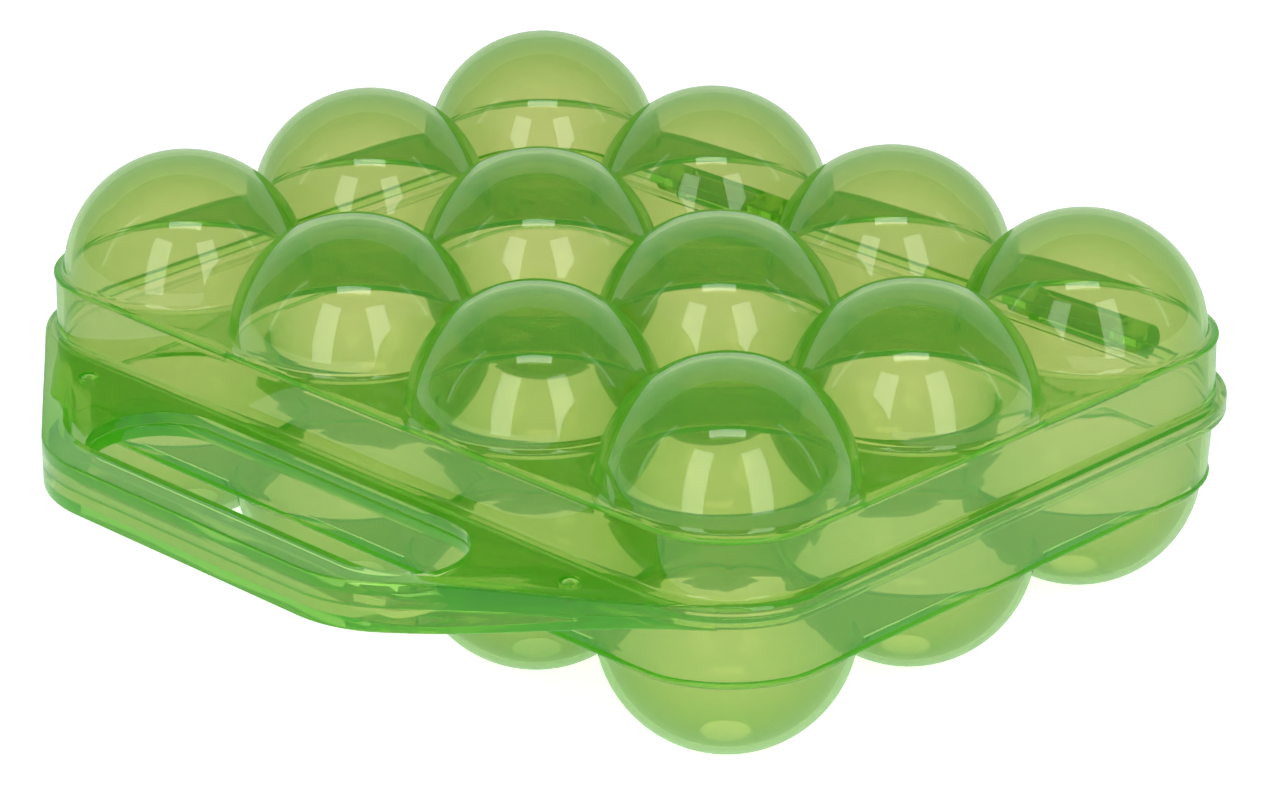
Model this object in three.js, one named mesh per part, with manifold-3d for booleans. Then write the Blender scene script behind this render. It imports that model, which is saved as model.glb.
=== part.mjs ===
// Egg storage box: a shallow base and a matching lid, each moulded with twelve round cells,
// joined by two snap hinges at the back and closing on a two-part carrying handle at the front.
// Millimetres, +Z up. The box stands on its cups, its long side lies along X and the handle
// points to -Y. The origin is at the middle of the whole outline, on the plane it stands on.

import * as THREE from "three";
import { mergeVertices } from "three/addons/utils/BufferGeometryUtils.js";
import Module from "manifold-3d";

const wasm = await Module();
wasm.setup();

// Cells: three rows of four, each half a cup in the base and a dome in the lid.
const row_names = ["a", "b", "c"];
const columns = 4;
const cell_radius = 24.6;
const cell_sink = 1.2;
const column_web = 0.8;
const row_web = 1.5;
const foot_radius = 5;

// Shallow trays that carry the cells, measured from the plane where the halves meet.
const base_depth = 15.5;
const lid_depth = 14.5;
const wall = 1.4;
const cell_margin = 0.2;
const corner_radius = 21;
const base_deck_corner_radius = 22.5;
const wall_draft = 0.15;
const deck_edge_radius = 0.6;
const rim_width = 2.4;
const rim_height = 2.5;
const rim_skirt = 1.3;
const lid_ledge = 1.6;
const base_ledge = 1;

// Clearances.
const form_gap = 0.3;
const parting_gap = 0.3;
const overrun = 2;

// Handle: a flat inner plate round the hand slot, and a hollow grip that thickens to the front.
const handle_reach = 39.6;
const handle_front_setback = 61.7;
const handle_corner_radius = 26;
const handle_root_trim = 8;
const slot_end_setback = 55.2;
const slot_setback = 3.1;
const grip_bar_width = 9;
const side_band_width = 4.5;
const grip_height = 5;
const lid_grip_plate = 3;
const base_grip_plate = 2.2;
const grip_skirt = 1.4;
const grip_hollow_reach = 15;

// Snap studs that hold the handle halves together.
const stud_end_setback = 35.2;
const stud_setback = 5.6;
const stud_radius = 2;
const stud_clearance = 0.4;
const stud_head_drop = 0.3;

// Hinges: a bar between two arms on the lid snaps into an open knuckle on the base.
const hinge_bar_radius = 1.8;
const hinge_bore_clearance = 0.3;
const knuckle_wall = 1.5;
const knuckle_run = 0.4;
const knuckle_width = 22;
const arm_width = 7;
const arm_side_gap = 0.4;
const snap_mouth_share = 0.8;
const neck_height = 3;

// Smoothness of the round forms.
const cell_segments = 20;
const cell_rings = 5;
const corner_steps = 6;
const edge_turn_shares = [0, 0.5, 1];
const slot_end_steps = 10;
const handle_corner_steps = 6;
const stud_segments = 12;
const hinge_segments = 14;

// Points of a form that lie closer together than this count as one.
const weld_distance = 0.0001;

// Sizes that follow from the ones above.
const column_pitch = 2 * cell_radius + column_web;
const row_pitch = 2 * cell_radius + row_web;
const tray_half_length = ((columns - 1) / 2) * column_pitch + cell_radius + cell_margin;
const tray_half_width = ((row_names.length - 1) / 2) * row_pitch + cell_radius + cell_margin;
const rim_half_length = tray_half_length + rim_width;
const rim_half_width = tray_half_width + rim_width;
const rim_corner_radius = corner_radius + rim_width;
const half_parting = parting_gap / 2;
const cell_bore_radius = cell_radius - wall;
const slot_radius = (handle_reach - grip_bar_width - slot_setback) / 2;
const handle_front_half = rim_half_length - handle_front_setback;
const slot_half_length = rim_half_length - slot_end_setback;
const stud_x = rim_half_length - stud_end_setback;
const foot_drop = Math.sqrt(cell_radius ** 2 - foot_radius ** 2) - cell_sink;
const parting_height = base_depth + foot_drop;
const handle_front = -(rim_half_width + handle_reach);
const knuckle_radius = hinge_bar_radius + hinge_bore_clearance + knuckle_wall;
const hinge_y = rim_half_width + knuckle_run + knuckle_radius;
const hinge_x = column_pitch;
const outline_back = hinge_y + knuckle_radius;
const outline_middle = (handle_front + outline_back) / 2;

// One plastic, glossy and tinted green, for every moulded form.
const plastic = new THREE.MeshStandardMaterial({
  color: 0x8fbe4a,
  roughness: 0.12,
  metalness: 0,
  transparent: true,
  opacity: 0.6,
});

// Turns a closed geometry into a solid that can be joined and cut.
function solid(geometry) {
  const bare = geometry.index ? geometry.toNonIndexed() : geometry.clone();
  bare.deleteAttribute("normal");
  bare.deleteAttribute("uv");
  const merged = mergeVertices(bare, weld_distance);
  return new wasm.Manifold(
    new wasm.Mesh({
      numProp: 3,
      vertProperties: merged.attributes.position.array,
      triVerts: new Uint32Array(merged.index.array),
    }),
  );
}

// Turns a solid back into a geometry.
function geometryOf(shape) {
  const { vertProperties, triVerts } = shape.getMesh();
  const geometry = new THREE.BufferGeometry();
  geometry.setAttribute("position", new THREE.BufferAttribute(vertProperties, 3));
  geometry.setIndex(new THREE.BufferAttribute(triVerts, 1));
  const faceted = geometry.toNonIndexed();
  faceted.computeVertexNormals();
  return faceted;
}

// A named mesh in the one plastic.
function moulded(name, geometry) {
  const mesh = new THREE.Mesh(geometry, plastic);
  mesh.name = name;
  return mesh;
}

// A prism over a flat outline, from one height to another, with the stated number of straight
// steps on each of its arcs.
function prism(outline, low, high, arcSteps) {
  const geometry = new THREE.ExtrudeGeometry(outline, {
    depth: high - low,
    bevelEnabled: false,
    curveSegments: arcSteps / 2,
  });
  geometry.translate(0, 0, low);
  return solid(geometry);
}

// A bar along X over an outline drawn across it: first coordinate Y, second coordinate Z.
function barAlongX(outline, left, right) {
  const geometry = new THREE.ExtrudeGeometry(outline, {
    depth: right - left,
    bevelEnabled: false,
    curveSegments: hinge_segments / 2,
  });
  geometry.applyMatrix4(new THREE.Matrix4().makeBasis(
    new THREE.Vector3(0, 1, 0),
    new THREE.Vector3(0, 0, 1),
    new THREE.Vector3(1, 0, 0),
  ));
  geometry.translate(left, 0, 0);
  return solid(geometry);
}

// A round outline.
function disc(x, y, radius) {
  const outline = new THREE.Shape();
  outline.absarc(x, y, radius, 0, 2 * Math.PI);
  return outline;
}

// A rectangle between two corners.
function rectangle(x0, y0, x1, y1) {
  return new THREE.Shape([
    new THREE.Vector2(x0, y0),
    new THREE.Vector2(x1, y0),
    new THREE.Vector2(x1, y1),
    new THREE.Vector2(x0, y1),
  ]);
}

// A rectangle about the origin with round corners.
function roundedRectangle(halfLength, halfWidth, radius) {
  const x = halfLength - radius;
  const y = halfWidth - radius;
  const outline = new THREE.Shape();
  outline.absarc(x, y, radius, 0, Math.PI / 2);
  outline.absarc(-x, y, radius, Math.PI / 2, Math.PI);
  outline.absarc(-x, -y, radius, Math.PI, 1.5 * Math.PI);
  outline.absarc(x, -y, radius, 1.5 * Math.PI, 2 * Math.PI);
  return outline;
}

// The same rectangle as a ring of points at a height.
function ring(halfLength, halfWidth, radius, z) {
  const points = [];
  for (const [sideX, sideY, quarter] of [[1, 1, 0], [-1, 1, 1], [-1, -1, 2], [1, -1, 3]]) {
    for (let step = 0; step <= corner_steps; step += 1) {
      const angle = (quarter + step / corner_steps) * (Math.PI / 2);
      points.push(new THREE.Vector3(
        sideX * (halfLength - radius) + radius * Math.cos(angle),
        sideY * (halfWidth - radius) + radius * Math.sin(angle),
        z,
      ));
    }
  }
  return points;
}

// A closed skin through rings of equally many points, with flat ends.
function loft(rings) {
  const count = rings[0].length;
  const faces = [];
  for (let level = 1; level < rings.length; level += 1) {
    const low = (level - 1) * count;
    const high = level * count;
    for (let step = 0; step < count; step += 1) {
      const next = (step + 1) % count;
      faces.push(low + step, low + next, high + next);
      faces.push(low + step, high + next, high + step);
    }
  }
  const last = (rings.length - 1) * count;
  for (let step = 1; step < count - 1; step += 1) {
    faces.push(0, step + 1, step);
    faces.push(last, last + step, last + step + 1);
  }
  const geometry = new THREE.BufferGeometry().setFromPoints(rings.flat());
  geometry.setIndex(faces);
  return solid(geometry);
}

// Centres of the cells, with the name of each: row letter and column number.
function cellPlaces() {
  const places = [];
  row_names.forEach((letter, row) => {
    for (let column = 0; column < columns; column += 1) {
      places.push({
        name: letter + (column + 1),
        x: (column - (columns - 1) / 2) * column_pitch,
        y: (row - (row_names.length - 1) / 2) * row_pitch,
      });
    }
  });
  return places;
}

// A tray as the lid has it: walls rising from the parting plane to a deck with a round
// hole for each cell, and a rim round the mouth, where the wall steps out under a ledge.
// The base uses it upside down.
function tray(depth, deckCornerRadius, ledge) {
  const outer = [
    ring(rim_half_length, rim_half_width, rim_corner_radius, half_parting),
    ring(rim_half_length, rim_half_width, rim_corner_radius, rim_height),
    ring(tray_half_length, tray_half_width, corner_radius, rim_height),
  ];
  for (const share of edge_turn_shares) {
    const turn = share * (Math.PI / 2);
    const inset = wall_draft + deck_edge_radius * (1 - Math.cos(turn));
    const height = depth - deck_edge_radius * (1 - Math.sin(turn));
    outer.push(ring(tray_half_length - inset, tray_half_width - inset, deckCornerRadius - inset, height));
  }
  const mouthLength = rim_half_length - rim_skirt;
  const mouthWidth = rim_half_width - rim_skirt;
  const mouthRadius = rim_corner_radius - rim_skirt;
  const inside = [
    ring(mouthLength, mouthWidth, mouthRadius, half_parting - overrun),
    ring(mouthLength, mouthWidth, mouthRadius, rim_height - ledge),
    ring(tray_half_length - wall, tray_half_width - wall, corner_radius - wall, rim_height - ledge),
    ring(
      tray_half_length - wall - wall_draft,
      tray_half_width - wall - wall_draft,
      deckCornerRadius - wall - wall_draft,
      depth - wall,
    ),
  ];
  let body = loft(outer).subtract(loft(inside));
  for (const place of cellPlaces()) {
    body = body.subtract(
      prism(disc(place.x, place.y, cell_bore_radius), 0, depth + overrun, cell_segments),
    );
  }
  return geometryOf(body);
}

// A cell as the lid has it: a thin round dome standing on the deck. The cup is the same
// form upside down, with a small flat foot in place of the crown.
function cell(flatRadius) {
  const outerSeat = Math.asin((form_gap + cell_sink) / cell_radius);
  const innerSeat = Math.asin((form_gap + cell_sink) / cell_bore_radius);
  const crown = Math.acos(flatRadius / cell_radius);
  const profile = [new THREE.Vector2(0, cell_radius * Math.sin(crown) - cell_sink)];
  for (let step = flatRadius > 0 ? 0 : 1; step <= cell_rings; step += 1) {
    const angle = crown + (outerSeat - crown) * (step / cell_rings);
    profile.push(new THREE.Vector2(
      cell_radius * Math.cos(angle),
      cell_radius * Math.sin(angle) - cell_sink,
    ));
  }
  for (let step = 0; step < cell_rings; step += 1) {
    const angle = innerSeat + (Math.PI / 2 - innerSeat) * (step / cell_rings);
    profile.push(new THREE.Vector2(
      cell_bore_radius * Math.cos(angle),
      cell_bore_radius * Math.sin(angle) - cell_sink,
    ));
  }
  profile.push(new THREE.Vector2(0, cell_bore_radius - cell_sink));
  const geometry = new THREE.LatheGeometry(profile.reverse(), cell_segments);
  geometry.rotateX(Math.PI / 2);
  return geometry;
}

// Where the straight side of the handle leaves the rim: the line from the handle's front
// corner that touches the round corner of the rim, stopped short of its thin end.
function handleRoot() {
  const cornerCentre = new THREE.Vector2(
    rim_half_length - rim_corner_radius,
    -(rim_half_width - rim_corner_radius),
  );
  const front = new THREE.Vector2(handle_front_half, handle_front);
  const toCentre = cornerCentre.clone().sub(front);
  const distance = toCentre.length();
  const direction = toCentre.angle() - Math.asin(rim_corner_radius / distance);
  const reach = Math.sqrt(distance ** 2 - rim_corner_radius ** 2) - handle_root_trim;
  return {
    direction,
    x: front.x + reach * Math.cos(direction),
    y: front.y + reach * Math.sin(direction),
  };
}

// The handle's outline: a trapezoid with round front corners, drawn in by an inset.
function handleOutline(inset, front) {
  const root = handleRoot();
  const slope = Math.tan(root.direction);
  const shift = inset / Math.sin(root.direction);
  const cornerX = handle_front_half - shift + (front - handle_front) / slope;
  const rootX = root.x - inset;
  const rootY = front + (rootX - cornerX) * slope;
  const half = root.direction / 2;
  const radius = handle_corner_radius - inset;
  const arcX = cornerX - radius * Math.tan(half);
  const outline = new THREE.Shape();
  outline.moveTo(-rootX, 0);
  outline.lineTo(-rootX, rootY);
  outline.absarc(-arcX, front + radius, radius, 1.5 * Math.PI - root.direction, 1.5 * Math.PI);
  outline.absarc(arcX, front + radius, radius, 1.5 * Math.PI, 1.5 * Math.PI + root.direction);
  outline.lineTo(rootX, rootY);
  outline.lineTo(rootX, 0);
  return outline;
}

// The hand slot: straight sides and half-round ends.
function slotOutline() {
  const x = slot_half_length - slot_radius;
  const y = handle_front + grip_bar_width + slot_radius;
  const outline = new THREE.Shape();
  outline.absarc(x, y, slot_radius, -Math.PI / 2, Math.PI / 2);
  outline.absarc(-x, y, slot_radius, Math.PI / 2, 1.5 * Math.PI);
  return outline;
}

// The hollow inside the grip, between its two skirts, along the front and round both corners.
function gripHollow(topPlate) {
  const low = half_parting - overrun;
  const high = grip_height - topPlate;
  const outer = handleOutline(grip_skirt, handle_front + grip_skirt);
  const inner = handleOutline(side_band_width - grip_skirt, handle_front + grip_bar_width - grip_skirt);
  const back = handle_front + grip_hollow_reach;
  return prism(outer, low, high, handle_corner_steps)
    .subtract(prism(inner, low, high, handle_corner_steps))
    .subtract(prism(rectangle(-rim_half_length, back, rim_half_length, 0), low, high, handle_corner_steps));
}

// The wedge that lowers the side bands from the full grip height to the rim.
function bandSlope() {
  const far = rim_half_length + overrun;
  const start = handle_front + grip_bar_width;
  return barAlongX(
    new THREE.Shape([
      new THREE.Vector2(start, grip_height),
      new THREE.Vector2(-rim_half_width, rim_height),
      new THREE.Vector2(0, rim_height),
      new THREE.Vector2(0, grip_height + overrun),
      new THREE.Vector2(start, grip_height + overrun),
    ]),
    -far,
    far,
  );
}

// A handle half as the lid has it, from the parting plane up.
function handleHalf(topPlate) {
  const top = grip_height + overrun;
  const innerFront = handle_front + grip_bar_width;
  const rimClear = roundedRectangle(
    rim_half_length + form_gap,
    rim_half_width + form_gap,
    rim_corner_radius + form_gap,
  );
  const flat = handleOutline(side_band_width, innerFront);
  return prism(handleOutline(0, handle_front), half_parting, grip_height, handle_corner_steps)
    .subtract(prism(flat, rim_height, top, handle_corner_steps))
    .subtract(bandSlope())
    .subtract(prism(slotOutline(), half_parting - overrun, top, slot_end_steps))
    .subtract(gripHollow(topPlate))
    .subtract(prism(rimClear, half_parting - overrun, top, corner_steps));
}

// The lid's half of the handle, with a hole over each stud.
function lidHandle() {
  let body = handleHalf(lid_grip_plate);
  for (const side of [-1, 1]) {
    body = body.subtract(prism(
      disc(side * stud_x, -(rim_half_width + stud_setback), stud_radius + stud_clearance),
      half_parting - overrun,
      rim_height + overrun,
      stud_segments,
    ));
  }
  return geometryOf(body);
}

// A round-headed stud that points down from the middle of the handle's inner plate.
function stud(x, y) {
  const head = rim_height - stud_head_drop;
  const geometry = new THREE.LatheGeometry([
    new THREE.Vector2(0, -rim_height / 2),
    new THREE.Vector2(stud_radius, -rim_height / 2),
    new THREE.Vector2(stud_radius, head - stud_radius / 2),
    new THREE.Vector2(stud_radius / 2, head),
    new THREE.Vector2(0, head),
  ], stud_segments);
  geometry.rotateX(-Math.PI / 2);
  geometry.translate(x, y, 0);
  return solid(geometry);
}

// The base's half of the handle, drawn upside down: the lid's half with the studs.
function baseHandle() {
  let body = handleHalf(base_grip_plate);
  for (const side of [-1, 1]) {
    body = body.add(stud(side * stud_x, -(rim_half_width + stud_setback)));
  }
  return geometryOf(body);
}

// The lid's half of a hinge: two arms that reach back from the rim and carry a round bar.
function lidHinge(x) {
  const inner = knuckle_width / 2 + arm_side_gap;
  const outer = inner + arm_width;
  const root = rim_half_width + form_gap;
  let body = barAlongX(disc(hinge_y, 0, hinge_bar_radius), x - outer, x + outer);
  for (const side of [-1, 1]) {
    const left = Math.min(side * inner, side * outer) + x;
    const right = Math.max(side * inner, side * outer) + x;
    body = body
      .add(barAlongX(disc(hinge_y, 0, knuckle_radius), left, right))
      .add(barAlongX(rectangle(root, half_parting, hinge_y, rim_height), left, right));
  }
  return geometryOf(body);
}

// The base's half of a hinge: a knuckle open at the top, whose mouth is a little narrower
// than the bar that snaps into it.
function baseHinge(x) {
  const left = x - knuckle_width / 2;
  const right = x + knuckle_width / 2;
  const root = rim_half_width + form_gap;
  const mouth = hinge_bar_radius * snap_mouth_share;
  const bore = hinge_bar_radius + hinge_bore_clearance;
  const body = barAlongX(disc(hinge_y, 0, knuckle_radius), left, right)
    .add(barAlongX(rectangle(root, -knuckle_radius, hinge_y, neck_height - knuckle_radius), left, right))
    .subtract(barAlongX(disc(hinge_y, 0, bore), left - overrun, right + overrun))
    .subtract(barAlongX(
      rectangle(hinge_y - mouth, 0, hinge_y + mouth, knuckle_radius + overrun),
      left - overrun,
      right + overrun,
    ));
  return geometryOf(body);
}

// The lid, closed.
function lid() {
  const group = new THREE.Group();
  group.name = "lid";
  group.add(moulded("lid_tray", tray(lid_depth, corner_radius, lid_ledge)));
  for (const place of cellPlaces()) {
    const dome = moulded("dome_" + place.name, cell(0));
    dome.position.set(place.x, place.y, lid_depth);
    group.add(dome);
  }
  group.add(moulded("lid_handle", lidHandle()));
  group.add(moulded("lid_hinge_left", lidHinge(-hinge_x)));
  group.add(moulded("lid_hinge_right", lidHinge(hinge_x)));
  return group;
}

// The base, standing on its cups.
function base() {
  const group = new THREE.Group();
  group.name = "base";
  const body = moulded("base_tray", tray(base_depth, base_deck_corner_radius, base_ledge));
  body.rotation.x = Math.PI;
  group.add(body);
  for (const place of cellPlaces()) {
    const cup = moulded("cup_" + place.name, cell(foot_radius));
    cup.rotation.x = Math.PI;
    cup.position.set(place.x, place.y, -base_depth);
    group.add(cup);
  }
  const handle = moulded("base_handle", baseHandle());
  handle.rotation.y = Math.PI;
  group.add(handle);
  group.add(moulded("base_hinge_left", baseHinge(-hinge_x)));
  group.add(moulded("base_hinge_right", baseHinge(hinge_x)));
  return group;
}

const box = new THREE.Group();
box.name = "egg_storage_box";
box.add(base());
box.add(lid());
box.position.set(0, -outline_middle, parting_height);

export default box;
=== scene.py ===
"""Egg storage box in see-through green plastic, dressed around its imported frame. Metres, +Z up."""

import math

import bmesh
import bpy
from mathutils import Matrix, Vector


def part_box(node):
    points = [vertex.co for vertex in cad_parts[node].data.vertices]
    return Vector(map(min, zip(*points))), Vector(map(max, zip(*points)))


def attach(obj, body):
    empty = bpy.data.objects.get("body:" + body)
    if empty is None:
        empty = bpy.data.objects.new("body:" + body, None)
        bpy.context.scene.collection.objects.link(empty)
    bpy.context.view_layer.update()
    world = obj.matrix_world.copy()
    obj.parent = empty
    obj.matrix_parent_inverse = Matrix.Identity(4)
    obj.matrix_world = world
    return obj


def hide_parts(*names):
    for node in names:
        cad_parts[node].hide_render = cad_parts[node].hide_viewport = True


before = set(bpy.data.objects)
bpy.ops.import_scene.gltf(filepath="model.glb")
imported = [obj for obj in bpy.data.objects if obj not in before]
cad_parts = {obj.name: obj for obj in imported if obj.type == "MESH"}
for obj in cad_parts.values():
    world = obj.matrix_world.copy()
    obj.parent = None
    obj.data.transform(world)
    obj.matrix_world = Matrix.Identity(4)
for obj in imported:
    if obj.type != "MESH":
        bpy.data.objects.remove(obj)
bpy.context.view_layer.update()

MM = 0.001

# Cells and trays, as the frame has them.
COLUMNS = 4
ROWS = 3
CELL_RADIUS = 24.6 * MM
CELL_SINK = 1.2 * MM
COLUMN_WEB = 0.8 * MM
ROW_WEB = 1.5 * MM
FOOT_RADIUS = 5 * MM
WALL = 1.4 * MM
CELL_MARGIN = 0.2 * MM
BASE_DEPTH = 15.5 * MM
LID_DEPTH = 14.5 * MM
CORNER = 21 * MM
BASE_DECK_CORNER = 22.5 * MM
DRAFT = 0.15 * MM
RIM_WIDTH = 2.4 * MM
RIM_HEIGHT = 2.5 * MM
RIM_SKIRT = 1.3 * MM
LID_LEDGE = 1.6 * MM
BASE_LEDGE = 1 * MM
FRAME_PARTING = 0.3 * MM

# Sizes of the cells and trays that follow from the ones above.
COLUMN_PITCH = 2 * CELL_RADIUS + COLUMN_WEB
ROW_PITCH = 2 * CELL_RADIUS + ROW_WEB
BORE_RADIUS = CELL_RADIUS - WALL
TRAY_X = (COLUMNS - 1) / 2 * COLUMN_PITCH + CELL_RADIUS + CELL_MARGIN
TRAY_Y = (ROWS - 1) / 2 * ROW_PITCH + CELL_RADIUS + CELL_MARGIN
RIM_X = TRAY_X + RIM_WIDTH
RIM_Y = TRAY_Y + RIM_WIDTH
RIM_CORNER = CORNER + RIM_WIDTH

# Handle.
HANDLE_REACH = 39.6 * MM
HANDLE_FRONT_SETBACK = 61.7 * MM
HANDLE_CORNER = 26 * MM
ROOT_TRIM = 1 * MM
SLOT_END_SETBACK = 55.2 * MM
SLOT_SETBACK = 3.1 * MM
BAR_WIDTH = 9 * MM
BAND_WIDTH = 4.5 * MM
GRIP_HEIGHT = 5 * MM
LID_GRIP_PLATE = 3 * MM
BASE_GRIP_PLATE = 2.2 * MM
GRIP_SKIRT = 1.4 * MM
STUD_END_SETBACK = 35.2 * MM
STUD_SETBACK = 5.6 * MM
STUD_RADIUS = 2 * MM
STUD_GAP = 0.1 * MM
HANDLE_FRONT = -(RIM_Y + HANDLE_REACH)
HANDLE_FRONT_HALF = RIM_X - HANDLE_FRONT_SETBACK
SLOT_HALF = RIM_X - SLOT_END_SETBACK
SLOT_RADIUS = (HANDLE_REACH - BAR_WIDTH - SLOT_SETBACK) / 2
STUD_X = RIM_X - STUD_END_SETBACK
STUD_Y = -(RIM_Y + STUD_SETBACK)

# The grip's hollow: where it ends behind the handle's front, the stretch over which its height
# fades out before that, and the least height that it keeps.
HOLLOW_REACH = 19 * MM
HOLLOW_FADE = 12 * MM
HOLLOW_LEAST = 0.3 * MM

# The grip's band: rings over its top, and rings that step down from it to the plate.
BAND_TOP_SHARES = (0.35, 0.7, 0.9)
STEP_DOWN_SHARES = (0.25, 0.5, 0.75, 1.0)
SIDE_STEP_START_SHARE = 0.9
SIDE_STEP_REACH_SHARE = 0.35
FRONT_STEP_START_SHARE = 0.95
FRONT_STEP_REACH_SHARE = 0.1

# Hinges.
BAR_RADIUS = 1.8 * MM
BORE_GAP = 0.3 * MM
KNUCKLE_WALL = 1.5 * MM
KNUCKLE_RUN = 0.4 * MM
KNUCKLE_RADIUS = BAR_RADIUS + BORE_GAP + KNUCKLE_WALL
KNUCKLE_HALF = 11 * MM
HINGE_X = COLUMN_PITCH
HINGE_Y = RIM_Y + KNUCKLE_RUN + KNUCKLE_RADIUS
ARM_GAP = 0.4 * MM
ARM_WIDTH = 7 * MM
ROOT_TOP_SHARE = 0.98
KNUCKLE_ROOT_SHARE = 0.2
SNAP_MOUTH_SHARE = 0.8

# Small forms that the frame leaves out or has more plainly: the fine parting line, roundings,
# fillets and a bead.
PARTING = 0.04 * MM
EDGE = 0.4 * MM
PARTING_EDGE = 0.06 * MM
RIM_EDGE = 1.2 * MM
DECK_EDGE = 0.55 * MM
DECK_BEAD = 0.4 * MM
INNER_EDGE = 1.4 * MM
CELL_FILLET = 1.2 * MM
ROOT_FILLET = 0.7 * MM
GRIP_EDGE = 0.5 * MM

# The angle at which a cell's fillet meets its round wall, and the fillet's centre from its axis.
FILLET_SEAT = math.asin((CELL_FILLET + CELL_SINK) / (CELL_RADIUS + CELL_FILLET))
FILLET_CENTRE = (CELL_RADIUS + CELL_FILLET) * math.cos(FILLET_SEAT)

# How far every cut runs past what it cuts.
OVERRUN = 2 * MM

# Smoothness of the round forms, in steps.
CELL_SEGMENTS = 72
CELL_RINGS = 26
CELL_FILLET_STEPS = 6
INNER_FILLET_STEPS = 8
TRAY_CORNER_STEPS = 14
PARTING_STEPS = 3
EDGE_STEPS = 4
ROOT_STEPS = 5
RIM_STEPS = 6
BEAD_STEPS = 8
GRIP_STEPS = 6
HANDLE_SIDE_STEPS = 12
HANDLE_CORNER_STEPS = 12
SLOT_END_STEPS = 24
STUD_SEGMENTS = 32
STUD_STEPS = 5
BAR_SEGMENTS = 40
COVE_STEPS = 16
SMOOTH_LIMIT = math.radians(35)

# Plastic: its clear body, the ripple and haze of its surface, what its depth takes away per
# metre, the green glow of its surface as shares, one of them painted shade along the deck-edge
# beads, and the colour of its shadow.
BODY_COLOUR = (0.885, 0.745, 0.575, 1)
BODY_IOR = 1.3
COAT_WEIGHT = 0.4
COAT_ROUGHNESS = 0.02
COAT_IOR = 1.45
RIPPLE_SCALE = 60
RIPPLE_DETAIL = 2
RIPPLE_STRENGTH = 0.04
RIPPLE_HEIGHT = 1 * MM
HAZE_SCALE = 180
HAZE_DETAIL = 4
HAZE_LEAST = 0.01
HAZE_MOST = 0.05
DEPTH_COLOUR = (0.63, 0.95, 0.36, 1)
DEPTH_DENSITY = 240
MILK_COLOUR = (0.16, 0.58, 0.04, 1)
MILK_LEAST_SHARE = 0.13
MILK_MOST_SHARE = 0.6
# Share of the milky green painted on the deck-edge beads as a darker shade line.
BEAD_SHADE_SHARE = 0.55
MILK_FACING_BLEND = 0.35
SHADOW_COLOUR = (0.84, 0.93, 0.76, 1)

# Stage: a floor that curves up behind the box.
WHITE = (1, 1, 1, 1)
STAGE_COLOUR = (0.8, 0.8, 0.8, 1)
STAGE_ROUGHNESS = 0.9
STAGE_GLOW = 0.8
STAGE_FRONT = 10.5
STAGE_BACK = 4.2
STAGE_COVE = 2.8
STAGE_HEIGHT = 10.5
STAGE_SIDE = 14

# Lamps: turned from the camera's side, risen over the floor, and facing a point in the box.
# Their power is in watts.
STRIP_TURN = math.radians(28)
STRIP_LIGHT = {"rise": math.radians(22), "distance": 1.3, "width": 0.42, "height": 1.3, "power": 6.5}
SIDE_TURN = math.radians(82)
SIDE_LIGHT = {"rise": math.radians(30), "distance": 1.3, "width": 0.07, "height": 1.1, "power": 0.5}
TOP_PANEL = {"rise": math.radians(66), "distance": 1.4, "width": 0.7, "height": 0.16, "power": 2.4}
LAMP_AIM = Vector((0, 0, 40 * MM))
SKY_STRENGTH = 0.5
LIGHT_BOUNCES = 32

# Camera: where the photograph was taken from, worked out from the box's outline in it. The
# sensor's width is in millimetres.
VIEW_AZIMUTH = math.radians(44.151)
VIEW_ELEVATION = math.radians(23.339)
VIEW_ROLL = math.radians(0.082)
VIEW_PLACE = Vector((635.869 * MM, -651.493 * MM, 385.68 * MM))
SENSOR_WIDTH = 36
IMAGE_WIDTH_PX = 1280
FOCAL_PX = 4946.789

# Where the middle of the cells and the parting plane lie in the frame.
low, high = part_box("lid_tray")
MIDDLE = Vector(((low.x + high.x) / 2, (low.y + high.y) / 2, low.z - FRAME_PARTING / 2))


def new_object(name, mesh):
    piece = bpy.data.objects.new(name, mesh)
    bpy.context.scene.collection.objects.link(piece)
    return piece


def loft(name, rings):
    """A closed skin through rings of equally many points, with flat ends."""
    mesh = bpy.data.meshes.new(name)
    made = bmesh.new()
    rows = [[made.verts.new(point) for point in ring] for ring in rings]
    for lower, upper in zip(rows, rows[1:]):
        for step in range(len(lower)):
            after = (step + 1) % len(lower)
            made.faces.new((lower[step], lower[after], upper[after], upper[step]))
    made.faces.new(reversed(rows[0]))
    made.faces.new(rows[-1])
    bmesh.ops.triangulate(made, faces=[f for f in made.faces if len(f.verts) > 4])
    bmesh.ops.recalc_face_normals(made, faces=made.faces)
    made.to_mesh(mesh)
    made.free()
    return new_object(name, mesh)


def lathe(name, profile, segments):
    """A body of revolution about Z. The profile starts and ends on the axis."""
    mesh = bpy.data.meshes.new(name)
    made = bmesh.new()
    rows = []
    for radius, height in profile[1:-1]:
        row = []
        for step in range(segments):
            angle = 2 * math.pi * step / segments
            row.append(made.verts.new((radius * math.cos(angle), radius * math.sin(angle), height)))
        rows.append(row)
    start = made.verts.new((0, 0, profile[0][1]))
    end = made.verts.new((0, 0, profile[-1][1]))
    for step in range(segments):
        after = (step + 1) % segments
        made.faces.new((start, rows[0][after], rows[0][step]))
        made.faces.new((end, rows[-1][step], rows[-1][after]))
        for lower, upper in zip(rows, rows[1:]):
            made.faces.new((lower[step], lower[after], upper[after], upper[step]))
    bmesh.ops.recalc_face_normals(made, faces=made.faces)
    made.to_mesh(mesh)
    made.free()
    return new_object(name, mesh)


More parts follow.
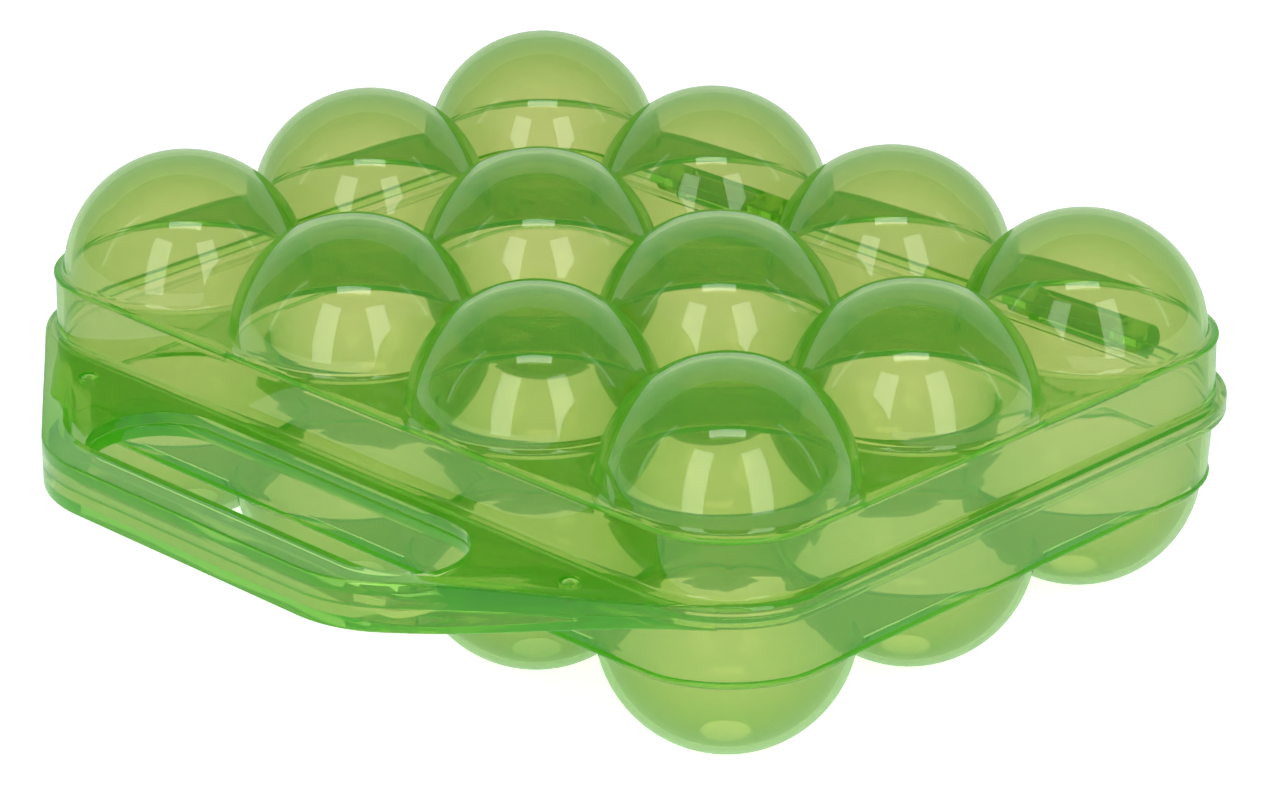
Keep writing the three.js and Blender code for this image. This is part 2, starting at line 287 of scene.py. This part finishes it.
def combine(target, others, operation):
    """Joins the other closed bodies to the target, or cuts them from it, and removes them."""
    for other in others:
        change = target.modifiers.new(operation, "BOOLEAN")
        change.operation = operation
        change.solver = "MANIFOLD"
        change.object = other
        graph = bpy.context.evaluated_depsgraph_get()
        result = bpy.data.meshes.new_from_object(target.evaluated_get(graph))
        target.modifiers.clear()
        old = target.data
        target.data = result
        bpy.data.meshes.remove(old)
        bpy.data.objects.remove(other)
    return target


def quarter_turn(steps):
    return [math.pi / 2 * step / steps for step in range(steps + 1)]


def rounding(radius, steps):
    """A quarter round's two distances: the first grows from nothing, the second shrinks to it."""
    return [(radius * (1 - math.cos(turn)), radius * (1 - math.sin(turn))) for turn in quarter_turn(steps)]


def eased(share):
    """A share of the way from 0 to 1, with a soft start and end."""
    return share * share * (3 - 2 * share)


def rounded_rectangle(half_x, half_y, radius, z):
    points = []
    for quarter, (side_x, side_y) in enumerate(((1, 1), (-1, 1), (-1, -1), (1, -1))):
        for step in range(TRAY_CORNER_STEPS + 1):
            angle = (quarter + step / TRAY_CORNER_STEPS) * math.pi / 2
            points.append((
                side_x * (half_x - radius) + radius * math.cos(angle),
                side_y * (half_y - radius) + radius * math.sin(angle),
                z,
            ))
    return points


def rim_ring(inset, z):
    return rounded_rectangle(RIM_X - inset, RIM_Y - inset, RIM_CORNER - inset, z)


def tray_ring(inset, z, corner=CORNER):
    return rounded_rectangle(TRAY_X - inset, TRAY_Y - inset, corner - inset, z)


def tray_outside(depth, deck_corner):
    """The tray's outer form over the parting plane: rim, wall and a fine bead along the deck edge."""
    rings = []
    for rise, inset in rounding(PARTING_EDGE, PARTING_STEPS):
        rings.append(rim_ring(inset, PARTING / 2 + rise))
    for inset, drop in rounding(RIM_EDGE, RIM_STEPS):
        rings.append(rim_ring(inset, RIM_HEIGHT - drop))
    for rise, outset in rounding(ROOT_FILLET, ROOT_STEPS):
        rings.append(tray_ring(-outset, RIM_HEIGHT + rise))
    start = -math.acos(1 - DECK_BEAD / DECK_EDGE)
    for step in range(BEAD_STEPS + 1):
        turn = start + (math.pi / 2 - start) * step / BEAD_STEPS
        inset = DRAFT - DECK_BEAD + DECK_EDGE * (1 - math.cos(turn))
        rings.append(tray_ring(inset, depth - DECK_EDGE * (1 - math.sin(turn)), deck_corner))
    return loft("tray_outside", rings)


def tray_inside(depth, deck_corner, ledge):
    """The shallow space in a tray. The wall steps out at the rim, under a ledge."""
    top = RIM_HEIGHT - ledge
    rings = [rim_ring(RIM_SKIRT, -OVERRUN), rim_ring(RIM_SKIRT, top - EDGE)]
    for inset, drop in rounding(EDGE, EDGE_STEPS):
        rings.append(rim_ring(RIM_SKIRT + inset, top - drop))
    for rise, outset in rounding(EDGE, EDGE_STEPS):
        rings.append(tray_ring(WALL - outset, top + rise))
    for inset, drop in rounding(INNER_EDGE, EDGE_STEPS):
        rings.append(tray_ring(WALL + DRAFT + inset, depth - WALL - drop, deck_corner))
    return loft("tray_inside", rings)


def fillet_points(radius, steps):
    """The hollow fillet at a cell's foot, from the deck up to the angle where the round wall starts."""
    turns = [-math.pi / 2 - (math.pi / 2 - FILLET_SEAT) * step / steps for step in range(steps + 1)]
    return [
        (FILLET_CENTRE + radius * math.cos(turn), CELL_FILLET + radius * math.sin(turn))
        for turn in turns
    ]


def wall_points(radius, crown, last):
    """A cell's round wall from its fillet towards the angle of its crown, up to the last step."""
    angles = [FILLET_SEAT + (crown - FILLET_SEAT) * step / CELL_RINGS for step in range(1, last + 1)]
    return [(radius * math.cos(angle), radius * math.sin(angle) - CELL_SINK) for angle in angles]


def cell_outside(flat):
    """One cell's outer form over its deck. flat is the radius of its foot, or 0 for a round crown."""
    crown = math.acos(flat / CELL_RADIUS)
    last = CELL_RINGS if flat else CELL_RINGS - 1
    profile = [(0, -WALL / 2), (FILLET_CENTRE, -WALL / 2)]
    profile += fillet_points(CELL_FILLET, CELL_FILLET_STEPS)
    profile += wall_points(CELL_RADIUS, crown, last)
    profile.append((0, CELL_RADIUS * math.sin(crown) - CELL_SINK))
    return profile


def cell_inside():
    """The space in one cell, one wall inside its outer form."""
    profile = [(0, -WALL - OVERRUN), (FILLET_CENTRE, -WALL - OVERRUN)]
    profile += fillet_points(CELL_FILLET + WALL, INNER_FILLET_STEPS)
    profile += wall_points(BORE_RADIUS, math.pi / 2, CELL_RINGS - 1)
    profile.append((0, BORE_RADIUS - CELL_SINK))
    return profile


def cell_centres():
    return [
        ((column - (COLUMNS - 1) / 2) * COLUMN_PITCH, (row - (ROWS - 1) / 2) * ROW_PITCH)
        for row in range(ROWS)
        for column in range(COLUMNS)
    ]


def cells(profile, depth, inset, corner):
    """One revolved body per cell, standing on the deck, all kept inside the tray's outline."""
    bodies = []
    for x, y in cell_centres():
        body = lathe("cell", profile, CELL_SEGMENTS)
        body.data.transform(Matrix.Translation((x, y, depth)))
        bodies.append(body)
    outline = [tray_ring(inset, z, corner) for z in (-OVERRUN, depth + CELL_RADIUS + OVERRUN)]
    joined = combine(bodies[0], bodies[1:], "UNION")
    return combine(joined, [loft("tray_outline", outline)], "INTERSECT")


def handle_side():
    """Direction of the handle's side line and its length: it touches the rim's round corner."""
    across = RIM_X - RIM_CORNER - HANDLE_FRONT_HALF
    along = -(RIM_Y - RIM_CORNER) - HANDLE_FRONT
    distance = math.hypot(across, along)
    direction = math.atan2(along, across) - math.asin(RIM_CORNER / distance)
    return direction, math.sqrt(distance**2 - RIM_CORNER**2) - ROOT_TRIM


def grip_level(y):
    """Height of the band's top over the parting plane: full at the front, down to the rim."""
    start = HANDLE_FRONT + BAR_WIDTH
    share = min(1, max(0, (y - start) / (-RIM_Y - start)))
    return GRIP_HEIGHT + (RIM_HEIGHT - GRIP_HEIGHT) * eased(share)


def handle_ring(side_inset, front_inset, level):
    """The handle's outline drawn in by two insets. level gives a point's height from its y."""
    direction, reach = handle_side()
    front = HANDLE_FRONT + front_inset
    corner_x = HANDLE_FRONT_HALF - side_inset / math.sin(direction) + front_inset / math.tan(direction)
    root_x = HANDLE_FRONT_HALF + reach * math.cos(direction) - side_inset
    root_y = front + (root_x - corner_x) * math.tan(direction)
    radius = HANDLE_CORNER - side_inset
    arc_x = corner_x - radius * math.tan(direction / 2)
    right = [(root_x, -RIM_Y / 2)]
    arc_end = (arc_x + radius * math.sin(direction), front + radius * (1 - math.cos(direction)))
    for step in range(HANDLE_SIDE_STEPS):
        share = step / HANDLE_SIDE_STEPS
        right.append((root_x + (arc_end[0] - root_x) * share, root_y + (arc_end[1] - root_y) * share))
    for step in range(HANDLE_CORNER_STEPS + 1):
        turn = direction * (1 - step / HANDLE_CORNER_STEPS)
        right.append((arc_x + radius * math.sin(turn), front + radius * (1 - math.cos(turn))))
    outline = [(-x, y) for x, y in right] + right[::-1]
    return [(x, y, level(y)) for x, y in outline]


def handle_outside():
    """The handle half over the parting plane: a raised rounded band round a flat inner plate."""
    rings = []
    for rise, inset in rounding(PARTING_EDGE, PARTING_STEPS):
        rings.append(handle_ring(inset, inset, lambda y, z=PARTING / 2 + rise: z))
    for inset, drop in rounding(GRIP_EDGE, GRIP_STEPS):
        rings.append(handle_ring(inset, inset, lambda y, drop=drop: grip_level(y) - drop))
    for share in BAND_TOP_SHARES:
        side = GRIP_EDGE + (BAND_WIDTH - GRIP_EDGE) * share
        front = GRIP_EDGE + (BAR_WIDTH - GRIP_EDGE) * share
        rings.append(handle_ring(side, front, grip_level))
    for share in STEP_DOWN_SHARES:
        rings.append(handle_ring(
            BAND_WIDTH * (SIDE_STEP_START_SHARE + SIDE_STEP_REACH_SHARE * share),
            BAR_WIDTH * (FRONT_STEP_START_SHARE + FRONT_STEP_REACH_SHARE * share),
            lambda y, done=eased(share): grip_level(y) + (RIM_HEIGHT - grip_level(y)) * done,
        ))
    return loft("handle_outside", rings)


def stadium(half, radius, y, z):
    """A ring with two straight sides along X and half-round ends."""
    points = []
    for side, start in ((1, -math.pi / 2), (-1, math.pi / 2)):
        for step in range(SLOT_END_STEPS + 1):
            angle = start + math.pi * step / SLOT_END_STEPS
            x = side * (half - radius) + radius * math.cos(angle)
            points.append((x, y + radius * math.sin(angle), z))
    return points


def slot_cutter():
    """The hand slot through a handle half, with a rounded edge at the parting plane."""
    y = HANDLE_FRONT + BAR_WIDTH + SLOT_RADIUS
    rings = [stadium(SLOT_HALF + EDGE, SLOT_RADIUS + EDGE, y, -OVERRUN)]
    for rise, outset in rounding(EDGE, EDGE_STEPS):
        rings.append(stadium(SLOT_HALF + outset, SLOT_RADIUS + outset, y, PARTING / 2 + rise))
    rings.append(stadium(SLOT_HALF, SLOT_RADIUS, y, GRIP_HEIGHT + OVERRUN))
    return loft("slot", rings)


def grip_hollow(plate):
    """The space between the grip's two skirts, running out behind the front corners."""

    def top(y):
        share = min(1, max(0, (HANDLE_FRONT + HOLLOW_REACH - y) / HOLLOW_FADE))
        return (grip_level(y) - plate) * share

    outer = handle_ring(GRIP_SKIRT, GRIP_SKIRT, top)
    inner = handle_ring(BAND_WIDTH - GRIP_SKIRT, BAR_WIDTH - GRIP_SKIRT, top)
    sections = []
    for (outer_x, outer_y, outer_top), (inner_x, inner_y, inner_top) in zip(outer, inner):
        if min(outer_top, inner_top) > HOLLOW_LEAST:
            sections.append([
                (outer_x, outer_y, -OVERRUN),
                (inner_x, inner_y, -OVERRUN),
                (inner_x, inner_y, inner_top),
                (outer_x, outer_y, outer_top),
            ])
    return loft("grip_hollow", sections)


def stud_body(x, radius, bottom, top, round_off):
    """A round post or the hole for one, with a rounded end."""
    profile = [(0, bottom), (radius, bottom)]
    for inset, drop in rounding(round_off, STUD_STEPS):
        profile.append((radius - inset, top - drop))
    profile.append((0, top))
    body = lathe("stud", profile, STUD_SEGMENTS)
    body.data.transform(Matrix.Translation((x, STUD_Y, 0)))
    return body


def bar_along_x(name, outline, left, right, edge):
    """A bar over an outline across X, its ends drawn in by a small rounding."""
    middle_y = sum(y for y, z in outline) / len(outline)
    middle_z = sum(z for y, z in outline) / len(outline)
    reach = max(math.hypot(y - middle_y, z - middle_z) for y, z in outline)
    rings = []
    for x, inset in ((left, edge), (left + edge, 0), (right - edge, 0), (right, edge)):
        scale = 1 - inset / reach
        rings.append([
            (x, middle_y + (y - middle_y) * scale, middle_z + (z - middle_z) * scale)
            for y, z in outline
        ])
    return loft(name, rings)


def circle(radius):
    """A round outline about the hinge line."""
    angles = [2 * math.pi * step / BAR_SEGMENTS for step in range(BAR_SEGMENTS)]
    return [(HINGE_Y + radius * math.cos(angle), radius * math.sin(angle)) for angle in angles]


def hinge_arms(x):
    """Two arms that reach back from the lid's rim, and the bar between them."""
    inner = KNUCKLE_HALF + ARM_GAP
    outer = inner + ARM_WIDTH
    root = [
        (RIM_Y - RIM_WIDTH / 2, PARTING / 2),
        (HINGE_Y, PARTING / 2),
        (HINGE_Y, KNUCKLE_RADIUS * ROOT_TOP_SHARE),
        (RIM_Y + ROOT_FILLET, RIM_HEIGHT),
        (RIM_Y - RIM_WIDTH / 2, RIM_HEIGHT * ROOT_TOP_SHARE),
    ]
    bodies = [bar_along_x("hinge_bar", circle(BAR_RADIUS), x - outer + EDGE, x + outer - EDGE, 0)]
    for side in (-1, 1):
        left = x + min(side * inner, side * outer)
        right = x + max(side * inner, side * outer)
        bodies.append(bar_along_x("hinge_arm", circle(KNUCKLE_RADIUS), left, right, EDGE))
        bodies.append(bar_along_x("hinge_root", root, left, right, EDGE))
    return bodies


def hinge_knuckle(x):
    """The base's open knuckle, drawn upside down as the base half is."""
    left = x - KNUCKLE_HALF
    right = x + KNUCKLE_HALF
    root = [
        (RIM_Y - RIM_WIDTH / 2, RIM_HEIGHT * KNUCKLE_ROOT_SHARE),
        (HINGE_Y, RIM_HEIGHT * KNUCKLE_ROOT_SHARE),
        (HINGE_Y, KNUCKLE_RADIUS * ROOT_TOP_SHARE),
        (RIM_Y - RIM_WIDTH / 2, RIM_HEIGHT * ROOT_TOP_SHARE),
    ]
    mouth = BAR_RADIUS * SNAP_MOUTH_SHARE
    channel = [
        (HINGE_Y - mouth, 0),
        (HINGE_Y - mouth, -KNUCKLE_RADIUS - OVERRUN),
        (HINGE_Y + mouth, -KNUCKLE_RADIUS - OVERRUN),
        (HINGE_Y + mouth, 0),
    ]
    knuckle = bar_along_x("knuckle", circle(KNUCKLE_RADIUS), left, right, EDGE)
    combine(knuckle, [bar_along_x("knuckle_root", root, left, right, EDGE)], "UNION")
    cuts = [
        bar_along_x("bore", circle(BAR_RADIUS + BORE_GAP), left - OVERRUN, right + OVERRUN, 0),
        bar_along_x("mouth", channel, left - OVERRUN, right + OVERRUN, 0),
    ]
    return combine(knuckle, cuts, "DIFFERENCE")


def moulding(name, depth, deck_corner, flat, ledge, grip_plate):
    """A whole half over the parting plane: tray, cells and handle plate in one skin."""
    body = tray_outside(depth, deck_corner)
    body.name = name
    combine(body, [handle_outside()], "UNION")
    combine(body, [cells(cell_outside(flat), depth, DRAFT, deck_corner)], "UNION")
    combine(body, [tray_inside(depth, deck_corner, ledge)], "DIFFERENCE")
    combine(body, [cells(cell_inside(), depth, WALL + DRAFT, deck_corner)], "DIFFERENCE")
    combine(body, [slot_cutter(), grip_hollow(grip_plate)], "DIFFERENCE")
    return body


def place(piece, flipped):
    """Moves a half from the parting plane to its place, turned over for the base."""
    turn = Matrix.Rotation(math.pi, 4, "Y") if flipped else Matrix.Identity(4)
    piece.data.transform(Matrix.Translation(MIDDLE) @ turn)


def lid_shell():
    lid = moulding("lid_shell", LID_DEPTH, CORNER, 0, LID_LEDGE, LID_GRIP_PLATE)
    for side in (-1, 1):
        combine(lid, hinge_arms(side * HINGE_X), "UNION")
        hole = stud_body(side * STUD_X, STUD_RADIUS + STUD_GAP, -OVERRUN, RIM_HEIGHT + OVERRUN, EDGE)
        combine(lid, [hole], "DIFFERENCE")
    place(lid, False)
    return lid


def base_shell():
    base = moulding(
        "base_shell", BASE_DEPTH, BASE_DECK_CORNER, FOOT_RADIUS, BASE_LEDGE, BASE_GRIP_PLATE
    )
    for side in (-1, 1):
        combine(base, [hinge_knuckle(side * HINGE_X)], "UNION")
    place(base, True)
    top = RIM_HEIGHT - STUD_GAP
    for side in (-1, 1):
        post = stud_body(side * STUD_X, STUD_RADIUS, -RIM_HEIGHT / 2, top, STUD_RADIUS / 2)
        place(post, False)
        combine(base, [post], "UNION")
    return base


def smooth(piece):
    """Smooth shading that keeps real edges."""
    mesh = piece.data
    for polygon in mesh.polygons:
        polygon.use_smooth = True
    made = bmesh.new()
    made.from_mesh(mesh)
    for edge in made.edges:
        edge.smooth = len(edge.link_faces) != 2 or edge.calc_face_angle() < SMOOTH_LIMIT
    made.to_mesh(mesh)
    made.free()


def dress(piece, material, body, starts):
    """Gives a piece its plastic and its body, in place of the nodes whose names start alike."""
    smooth(piece)
    piece.data.materials.clear()
    piece.data.materials.append(material)
    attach(piece, body)
    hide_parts(*[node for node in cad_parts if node.startswith(starts)])


def fill_socket(tree, socket, value):
    """Sets a socket to a value, or links it where the value is another node's output."""
    if isinstance(value, bpy.types.NodeSocket):
        tree.links.new(value, socket)
    else:
        socket.default_value = value


def add_node(tree, kind, values):
    """A node with some of its sockets filled, each named by its label or its number."""
    node = tree.nodes.new(kind)
    for key, value in values.items():
        fill_socket(tree, node.inputs[key], value)
    return node


def calculate(tree, kind, operation, *inputs):
    """The result of a math node. Each input is a value or another node's output."""
    node = add_node(tree, kind, dict(enumerate(inputs)))
    node.operation = operation
    return node.outputs["Value"] if operation == "LENGTH" else node.outputs[0]


def deck_edge_shade_mask(tree, position):
    """Where the painted shade line goes: 1 on the beads along both deck edges, 0 elsewhere, worked out
    from the place in the box.
    """
    vector, number = "ShaderNodeVectorMath", "ShaderNodeMath"
    shift = MIDDLE + Vector((0, 0, (LID_DEPTH - BASE_DEPTH) / 2))
    level = (LID_DEPTH + BASE_DEPTH) / 2 - DECK_EDGE
    inner = Vector((TRAY_X - CORNER, TRAY_Y - CORNER, 0))
    centred = calculate(tree, vector, "SUBTRACT", position, shift)
    folded = calculate(tree, vector, "ABSOLUTE", centred)
    flat = calculate(tree, vector, "MULTIPLY", folded, (1, 1, 0))
    past = calculate(tree, vector, "MAXIMUM", calculate(tree, vector, "SUBTRACT", flat, inner), (0, 0, 0))
    reach = calculate(tree, number, "SUBTRACT", calculate(tree, vector, "LENGTH", past), CORNER - WALL / 2)
    split = add_node(tree, "ShaderNodeSeparateXYZ", {0: folded})
    height = calculate(tree, number, "SUBTRACT", split.outputs["Z"], level)
    near = calculate(tree, number, "LESS_THAN", calculate(tree, number, "ABSOLUTE", height), DECK_EDGE)
    outside = calculate(tree, number, "GREATER_THAN", reach, 0)
    return calculate(tree, number, "MULTIPLY", near, outside)


def clear_body(tree, position):
    """The refracting plastic under a soft coat, with a faint ripple and a haze that varies."""
    ripple = add_node(tree, "ShaderNodeTexNoise", {
        "Vector": position, "Scale": RIPPLE_SCALE, "Detail": RIPPLE_DETAIL,
    })
    bump = add_node(tree, "ShaderNodeBump", {
        "Strength": RIPPLE_STRENGTH, "Distance": RIPPLE_HEIGHT, "Height": ripple.outputs["Fac"],
    })
    haze = add_node(tree, "ShaderNodeTexNoise", {
        "Vector": position, "Scale": HAZE_SCALE, "Detail": HAZE_DETAIL,
    })
    spread = add_node(tree, "ShaderNodeMapRange", {
        "Value": haze.outputs["Fac"], "To Min": HAZE_LEAST, "To Max": HAZE_MOST,
    })
    shader = add_node(tree, "ShaderNodeBsdfPrincipled", {
        "Base Color": BODY_COLOUR,
        "Transmission Weight": 1,
        "IOR": BODY_IOR,
        "Coat Weight": COAT_WEIGHT,
        "Coat Roughness": COAT_ROUGHNESS,
        "Coat IOR": COAT_IOR,
        "Roughness": spread.outputs["Result"],
        "Normal": bump.outputs["Normal"],
    })
    return shader.outputs["BSDF"]


def milky_surface(tree):
    """The green that the surface itself shows, half of it lit from behind."""
    front = add_node(tree, "ShaderNodeBsdfDiffuse", {"Color": MILK_COLOUR}).outputs["BSDF"]
    back = add_node(tree, "ShaderNodeBsdfTranslucent", {"Color": MILK_COLOUR}).outputs["BSDF"]
    return add_node(tree, "ShaderNodeMixShader", {1: front, 2: back}).outputs[0]


def milk_share(tree, position):
    """More milk where the surface turns away from the eye, and milky green painted as a darker shade line
    on the beads of the deck edges.
    """
    edge = add_node(tree, "ShaderNodeLayerWeight", {"Blend": MILK_FACING_BLEND})
    facing = add_node(tree, "ShaderNodeMapRange", {
        "Value": edge.outputs["Facing"], "To Min": MILK_LEAST_SHARE, "To Max": MILK_MOST_SHARE,
    })
    # Painted shade: the deck-edge beads get more milky green, so a darker line runs along them.
    bead = calculate(tree, "ShaderNodeMath", "MULTIPLY", deck_edge_shade_mask(tree, position), BEAD_SHADE_SHARE)
    return calculate(tree, "ShaderNodeMath", "MAXIMUM", facing.outputs["Result"], bead)


def green_plastic():
    """See-through green plastic: a clear body, a milky surface with painted shade on the deck-edge beads,
    colour in its depth and its shadow.
    """
    material = bpy.data.materials.new("green_plastic")
    material.use_nodes = True
    tree = material.node_tree
    tree.nodes.remove(tree.nodes["Principled BSDF"])
    position = add_node(tree, "ShaderNodeTexCoord", {}).outputs["Object"]
    body = add_node(tree, "ShaderNodeMixShader", {
        0: milk_share(tree, position), 1: clear_body(tree, position), 2: milky_surface(tree),
    })
    shadow = add_node(tree, "ShaderNodeBsdfTransparent", {"Color": SHADOW_COLOUR})
    path = add_node(tree, "ShaderNodeLightPath", {})
    surface = add_node(tree, "ShaderNodeMixShader", {
        0: path.outputs["Is Shadow Ray"], 1: body.outputs[0], 2: shadow.outputs["BSDF"],
    })
    depth = add_node(tree, "ShaderNodeVolumeAbsorption", {"Color": DEPTH_COLOUR, "Density": DEPTH_DENSITY})
    output = tree.nodes["Material Output"]
    fill_socket(tree, output.inputs["Surface"], surface.outputs[0])
    fill_socket(tree, output.inputs["Volume"], depth.outputs["Volume"])
    return material


def stage_white():
    """White for what the camera sees, straight or through and off the box, and plain grey for light."""
    material = bpy.data.materials.new("stage_white")
    material.use_nodes = True
    tree = material.node_tree
    path = add_node(tree, "ShaderNodeLightPath", {}).outputs
    seen = calculate(tree, "ShaderNodeMath", "MAXIMUM", path["Is Camera Ray"], path["Is Transmission Ray"])
    shown = calculate(tree, "ShaderNodeMath", "MAXIMUM", seen, path["Is Glossy Ray"])
    glow = calculate(tree, "ShaderNodeMath", "MULTIPLY", shown, STAGE_GLOW)
    shader = tree.nodes["Principled BSDF"]
    fill_socket(tree, shader.inputs["Base Color"], STAGE_COLOUR)
    fill_socket(tree, shader.inputs["Roughness"], STAGE_ROUGHNESS)
    fill_socket(tree, shader.inputs["Emission Color"], WHITE)
    fill_socket(tree, shader.inputs["Emission Strength"], glow)
    return material


def white_stage():
    """A floor that curves up behind the box and keeps its shadow."""
    profile = [(-STAGE_FRONT, 0), (STAGE_BACK, 0)]
    for turn in quarter_turn(COVE_STEPS):
        profile.append((STAGE_BACK + STAGE_COVE * math.sin(turn), STAGE_COVE * (1 - math.cos(turn))))
    profile.append((STAGE_BACK + STAGE_COVE, STAGE_HEIGHT))
    mesh = bpy.data.meshes.new("stage")
    made = bmesh.new()
    left = [made.verts.new((-STAGE_SIDE, y, z)) for y, z in profile]
    right = [made.verts.new((STAGE_SIDE, y, z)) for y, z in profile]
    for step in range(len(profile) - 1):
        made.faces.new((left[step], right[step], right[step + 1], left[step + 1]))
    made.to_mesh(mesh)
    made.free()
    for polygon in mesh.polygons:
        polygon.use_smooth = True
    mesh.materials.append(stage_white())
    stage = new_object("stage", mesh)
    stage.rotation_euler = (0, 0, VIEW_AZIMUTH)


def softbox(name, turn, rise, distance, width, height, power):
    """A rectangular lamp that faces the box, turned from the camera's side by an angle."""
    lamp = bpy.data.lights.new(name, "AREA")
    lamp.shape = "RECTANGLE"
    lamp.size = width
    lamp.size_y = height
    lamp.energy = power
    holder = bpy.data.objects.new(name, lamp)
    bpy.context.scene.collection.objects.link(holder)
    azimuth = VIEW_AZIMUTH + turn
    away = Vector((
        math.sin(azimuth) * math.cos(rise),
        -math.cos(azimuth) * math.cos(rise),
        math.sin(rise),
    ))
    holder.location = LAMP_AIM + away * distance
    holder.rotation_euler = away.to_track_quat("Z", "Y").to_euler()


def studio():
    """A plain white world and five soft lamps."""
    world = bpy.data.worlds.new("studio")
    bpy.context.scene.world = world
    world.use_nodes = True
    sky = world.node_tree.nodes["Background"]
    sky.inputs["Color"].default_value = WHITE
    sky.inputs["Strength"].default_value = SKY_STRENGTH
    for side in (-1, 1):
        softbox("strip_light", side * STRIP_TURN, **STRIP_LIGHT)
        softbox("side_light", side * SIDE_TURN, **SIDE_LIGHT)
    softbox("top_panel", 0, **TOP_PANEL)


def camera():
    lens = bpy.data.cameras.new("photo_camera")
    lens.sensor_width = SENSOR_WIDTH
    lens.lens = FOCAL_PX * SENSOR_WIDTH / IMAGE_WIDTH_PX
    holder = bpy.data.objects.new("photo_camera", lens)
    bpy.context.scene.collection.objects.link(holder)
    turn = (
        Matrix.Rotation(VIEW_AZIMUTH, 4, "Z")
        @ Matrix.Rotation(math.pi / 2 - VIEW_ELEVATION, 4, "X")
        @ Matrix.Rotation(VIEW_ROLL, 4, "Z")
    )
    holder.matrix_world = Matrix.Translation(MIDDLE + VIEW_PLACE) @ turn
    bpy.context.scene.camera = holder


camera()
plastic = green_plastic()
dress(lid_shell(), plastic, "lid", ("lid_", "dome_"))
dress(base_shell(), plastic, "base", ("base_", "cup_"))
white_stage()
studio()
scene = bpy.context.scene
scene.view_settings.view_transform = "Standard"
scene.cycles.max_bounces = LIGHT_BOUNCES
scene.cycles.transmission_bounces = LIGHT_BOUNCES
scene.cycles.transparent_max_bounces = LIGHT_BOUNCES
